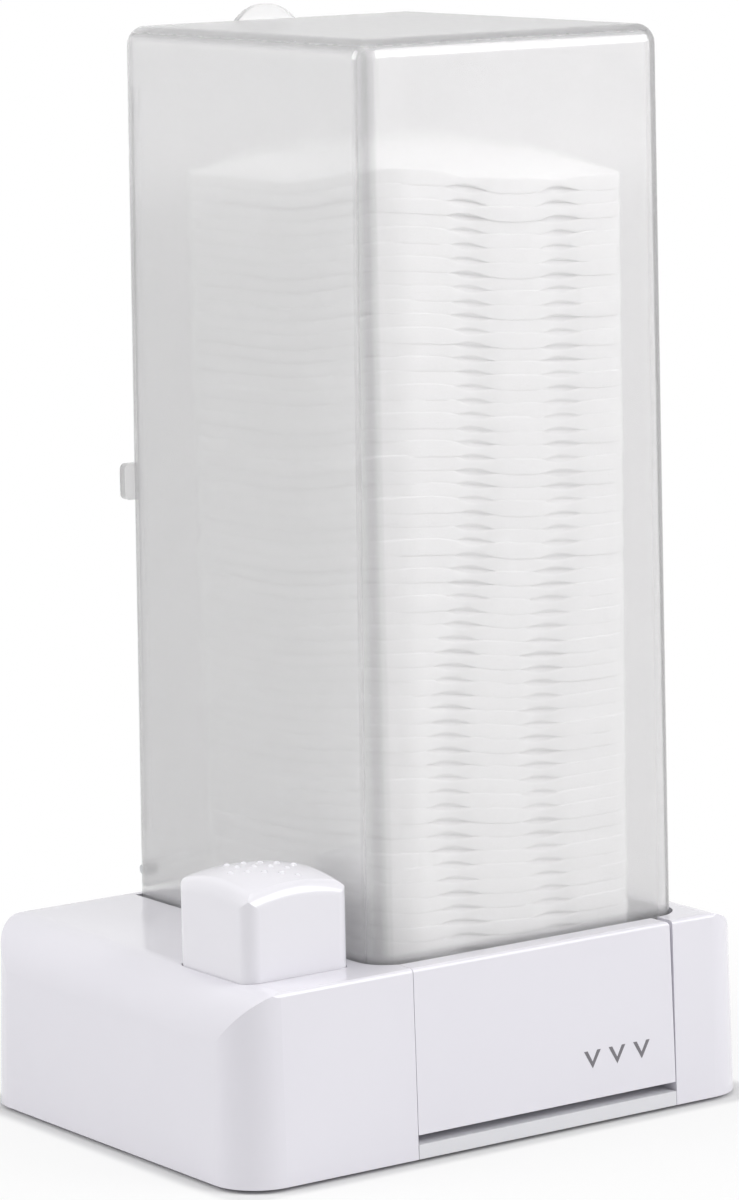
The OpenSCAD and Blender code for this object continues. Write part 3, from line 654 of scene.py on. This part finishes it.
def padStack(name, low, high, count, rules):
    # Each pad is a closed pillow of rings; its rim wanders and is pinched where the channels end
    rng = random.Random(rules["seed"])
    middle = (low + high) / 2
    halfX = (high.x - low.x) / 2
    halfY = (high.y - low.y) / 2
    pitch = (high.z - low.z) / count
    outline = roundedOutline(halfX, halfY, rules["cornerRadius"], rules["step"])
    n = len(outline)
    bulge = rules["edgeBulge"] / mm
    sideInsets = [-bulge, -rules["bulgeRing"] * bulge] + rules["sideInsets"]
    topInsets = sideInsets + rules["topInsets"]
    vertices, faces = [], []
    for k in range(count):
        level = k / max(count - 1, 1)
        zMid = low.z + (k + 0.5) * pitch
        shift = Vector((rng.uniform(-1, 1), rng.uniform(-1, 1))) * rules["padShift"]
        spin = Matrix.Rotation(math.radians(rng.uniform(-1, 1) * rules["padTurn"]), 2)
        thick = pitch * rng.uniform(rules["thinnest"], rules["thickest"])
        foot = rules["shrinkFoot"] * (1 - level) ** rules["shrinkPower"]
        pad = {"half": (halfX, halfY), "level": level, "zMid": zMid, "thick": thick, "foot": foot}
        drift = channelDrifts(k, rules)
        edges = [padEdge(point, out, k, drift, rules) for point, out in outline]
        rings = {1: [], -1: []}
        for side in (1, -1):
            bare = k == count - 1 and side > 0  # the one face that nothing covers
            for r, inset in enumerate(topInsets if bare else sideInsets):
                if r == 0 and side < 0:  # both halves share the rim's outermost ring
                    rings[-1].append(rings[1][0])
                    continue
                ring = []
                for (point, out), edge in zip(outline, edges):
                    place = ringPlace(point, out, edge, inset, pad, rules)
                    z = side * ringHeight(out, edge, r, inset, pad, rules)
                    if bare:
                        z += topRelief(place, inset, drift, rules)
                    p = spin @ place
                    z += zMid + stackLift(p, pad, rules)
                    ring.append(len(vertices))
                    vertices.append((middle.x + p.x + shift.x, middle.y + p.y + shift.y, z))
                rings[side].append(ring)
        for side, stackOfRings in rings.items():
            for inner, outer in zip(stackOfRings[1:], stackOfRings):
                for i in range(n):
                    j = (i + 1) % n
                    quad = (outer[i], outer[j], inner[j], inner[i])
                    faces.append(quad if side > 0 else quad[::-1])
            hub = len(vertices)
            ring = stackOfRings[-1]
            vertices.append(sum((Vector(vertices[v]) for v in ring), Vector()) / n)
            for i in range(n):
                tri = (ring[i], ring[(i + 1) % n], hub)
                faces.append(tri if side > 0 else tri[::-1])
    piece = meshPiece(name, vertices, faces, cottonMaterial, smooth=(3, 4))
    return piece


stackLow, stackHigh = (Vector(p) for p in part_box("pad_stack"))
stack = padStack("cottonPads", stackLow, stackHigh, padRules["count"], padRules)
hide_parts("pad_stack")
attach(stack, "base")
feedLow, feedHigh = (Vector(p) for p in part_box("feed_pad"))
feedRules = dict(padRules, padShift=0, padTurn=0, wave=0, shrinkFoot=0, dome=0, cornerLift=0,
                 thickest=1.0, frontReach=0.6 * mm, sideReach=0.6 * mm, edgeWander=0.15 * mm, seed=3)
lowest = padStack("lowestPad", feedLow, feedHigh, 1, feedRules)
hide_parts("feed_pad")
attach(lowest, "next_pad")
print("pads made:", padRules["count"] + 1)


# Return spring, wound here

spring = {
    "turns": 7,
    "flatTurns": 0.6,
    "wire": 0.45 * mm,
    "stepsPerTurn": 28,
    "sides": 10,
    "press": 11.0 * mm,
}


def returnSpring(name):
    # A round wire on a helix, its first and last part lying flat
    low, high = (Vector(p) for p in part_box("button_spring"))
    middle = (low + high) / 2
    wire, turns, flat = spring["wire"], spring["turns"], spring["flatTurns"]
    radius = (high.x - low.x) / 2 - wire
    steps = turns * spring["stepsPerTurn"]
    n = spring["sides"]
    vertices, faces = [], []
    for i in range(steps + 1):
        turn = i / spring["stepsPerTurn"]
        climb = min(max((turn - flat) / (turns - 2 * flat), 0), 1)
        z = low.z + wire + climb * (high.z - low.z - 2 * wire)
        angle = 2 * math.pi * turn
        for k in range(n):
            bend = 2 * math.pi * k / n
            r = radius + wire * math.cos(bend)
            x, y = middle.x + r * math.cos(angle), middle.y + r * math.sin(angle)
            vertices.append((x, y, z + wire * math.sin(bend)))
    for i in range(steps):
        for k in range(n):
            j = (k + 1) % n
            faces.append((i * n + k, (i + 1) * n + k, (i + 1) * n + j, i * n + j))
    faces.append(tuple(range(n)))
    faces.append(tuple(range(steps * n + n - 1, steps * n - 1, -1)))
    piece = meshPiece(name, vertices, faces, steelMaterial, smooth=(4,))
    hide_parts("button_spring")
    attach(piece, "base")
    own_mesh(piece)


returnSpring("returnSpring")
print("spring wound")


# Arrows printed on the front panel, pointing at the slot

arrows = {
    "count": 3,
    "firstX": 21.5 * mm,
    "pitch": 6.2 * mm,
    "z": 13.6 * mm,
    "width": 4.2 * mm,
    "height": 3.6 * mm,
    "stroke": 0.9 * mm,
    "tipStroke": 1.5,
    "proud": 0.03 * mm,
    "sunk": 0.01 * mm,
    "panelFoot": -0.0473,
    "panelLean": 0.028,
}


def panelFace(z):
    # Front surface of the leaning panel at height z
    return arrows["panelFoot"] + arrows["panelLean"] * z


def printedArrows(name):
    # Down-pointing chevrons as thin ink films
    bm = bmesh.new()
    w, h, t = arrows["width"] / 2, arrows["height"] / 2, arrows["stroke"]
    outline = [(-w, h), (-w + t, h), (0, -h + t * arrows["tipStroke"]), (w - t, h), (w, h), (0, -h)]
    n = len(outline)
    halves = ([0, 1, 2, 5], [2, 3, 4, 5])
    for k in range(arrows["count"]):
        rows = []
        for out in (arrows["sunk"], -arrows["proud"]):
            row = []
            for dx, dz in outline:
                x = arrows["firstX"] + k * arrows["pitch"] + dx
                z = arrows["z"] + dz
                row.append(bm.verts.new((x, panelFace(z) + out, z)))
            rows.append(row)
        back, front = rows
        for half in halves:
            bm.faces.new([front[i] for i in half])
            bm.faces.new([back[i] for i in reversed(half)])
        for i in range(n):
            j = (i + 1) % n
            bm.faces.new((back[i], back[j], front[j], front[i]))
    bmesh.ops.recalc_face_normals(bm, faces=bm.faces)
    mesh = bpy.data.meshes.new(name)
    bm.to_mesh(mesh)
    bm.free()
    return linkPiece(name, mesh, inkMaterial)


marks = printedArrows("panelArrows")
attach(marks, "base")
print("panel marks made")


# Floor, world and lamps

room = {
    "floorTone": 0.80,
    "shadowEnd": 0.0012,
    "nearEnd": 0.0045,
    "nearWhite": 0.80,
    "farEnd": 0.12,
    "worldLight": 0.42,
    "size": 6.0,
}


def paleFloor():
    # Matt under the base; seen directly it turns white away from the base
    material, g = newMaterial("paleFloor")
    cloth = g.add("ShaderNodeBsdfDiffuse", None, {"Color": (room["floorTone"],) * 3 + (1,)})
    white = g.add("ShaderNodeEmission", None, {"Color": (1, 1, 1, 1), "Strength": 1.0})
    baseLow, baseHigh = (Vector(p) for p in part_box("base_housing"))
    middle, half = (baseLow + baseHigh) / 2, (baseHigh - baseLow) / 2

    def step(operation, first, second=None):
        values = {0: first} if second is None else {0: first, 1: second}
        return g.add("ShaderNodeVectorMath", {"operation": operation}, values)

    past = step("ABSOLUTE", step("SUBTRACT", g.place(), (middle.x, middle.y, 0)))
    past = step("MAXIMUM", step("SUBTRACT", past, (half.x, half.y, 0)), (0, 0, 0))
    away = g.add("ShaderNodeVectorMath", {"operation": "LENGTH"}, {0: past}, out="Value")
    near = g.fade(away, room["shadowEnd"], room["nearEnd"], 0.0, room["nearWhite"])
    far = g.fade(away, room["nearEnd"], room["farEnd"], 0.0, 1 - room["nearWhite"])
    both = g.add("ShaderNodeMixShader", None, {0: (near + far) * g.seenDirectly(), 1: cloth, 2: white})
    g.end("ShaderNodeOutputMaterial", both)
    s = room["size"] / 2
    corners = [(-s, -s, 0), (s, -s, 0), (s, s, 0), (-s, s, 0)]
    meshPiece("paleFloor", corners, [(0, 1, 2, 3)], material)


def whiteWorld():
    # Plain white where it is seen, dimmer as a light
    world = bpy.data.worlds.new("softWhite")
    scene.world = world
    g = Graph(world)
    level = room["worldLight"] + (1 - room["worldLight"]) * g.seenDirectly()
    glow = g.add("ShaderNodeBackground", None, {"Color": (1, 1, 1, 1), "Strength": level})
    g.end("ShaderNodeOutputWorld", glow)


def areaLamp(name, place, aim, size, watts):
    data = bpy.data.lights.new(name, "AREA")
    data.shape = "RECTANGLE"
    data.size, data.size_y = size
    data.energy = watts
    lamp = bpy.data.objects.new(name, data)
    scene.collection.objects.link(lamp)
    lamp.location = place
    toAim = Vector(aim) - Vector(place)
    lamp.rotation_euler = toAim.to_track_quat("-Z", "Y").to_euler()


lampPlan = {
    "frontKey": {
        "place": (0.5, -0.78, 0.68),
        "aim": (0, 0, 0.11),
        "size": (0.6, 0.7),
        "watts": 6.2,
    },
    "leftFill": {
        "place": (-0.8, 0.36, 0.58),
        "aim": (0, 0, 0.08),
        "size": (0.5, 0.6),
        "watts": 3.5,
    },
    "topSoft": {
        "place": (-0.1, 0.0, 1.3),
        "aim": (0, 0, 0),
        "size": (0.8, 0.8),
        "watts": 4.0,
    },
}
for lampName, plan in lampPlan.items():
    areaLamp(lampName, **plan)
paleFloor()
whiteWorld()
print("room and lamps set")


# Camera at the photograph's place, worked out from the object's edges in it

view = {
    "place": (-0.5926, -0.8335, 0.27065),
    "forward": (0.57356, 0.80290, -0.16243),
    "up": (0.10932, 0.12149, 0.98655),
    "focal": 103.65,
    "sensor": 24.0,
    "clipStart": 0.05,
}
cameraData = bpy.data.cameras.new("photoCamera")
cameraData.sensor_fit = "VERTICAL"
cameraData.sensor_height = view["sensor"]
cameraData.lens = view["focal"]
cameraData.clip_start = view["clipStart"]
camera = bpy.data.objects.new("photoCamera", cameraData)
scene.collection.objects.link(camera)
back = -Vector(view["forward"]).normalized()
right = Vector(view["up"]).cross(back).normalized()
upward = back.cross(right)
turned = Matrix((right, upward, back)).transposed().to_4x4()
camera.matrix_world = Matrix.Translation(view["place"]) @ turned
scene.camera = camera
scene.view_settings.view_transform = "Standard"
print("camera set")
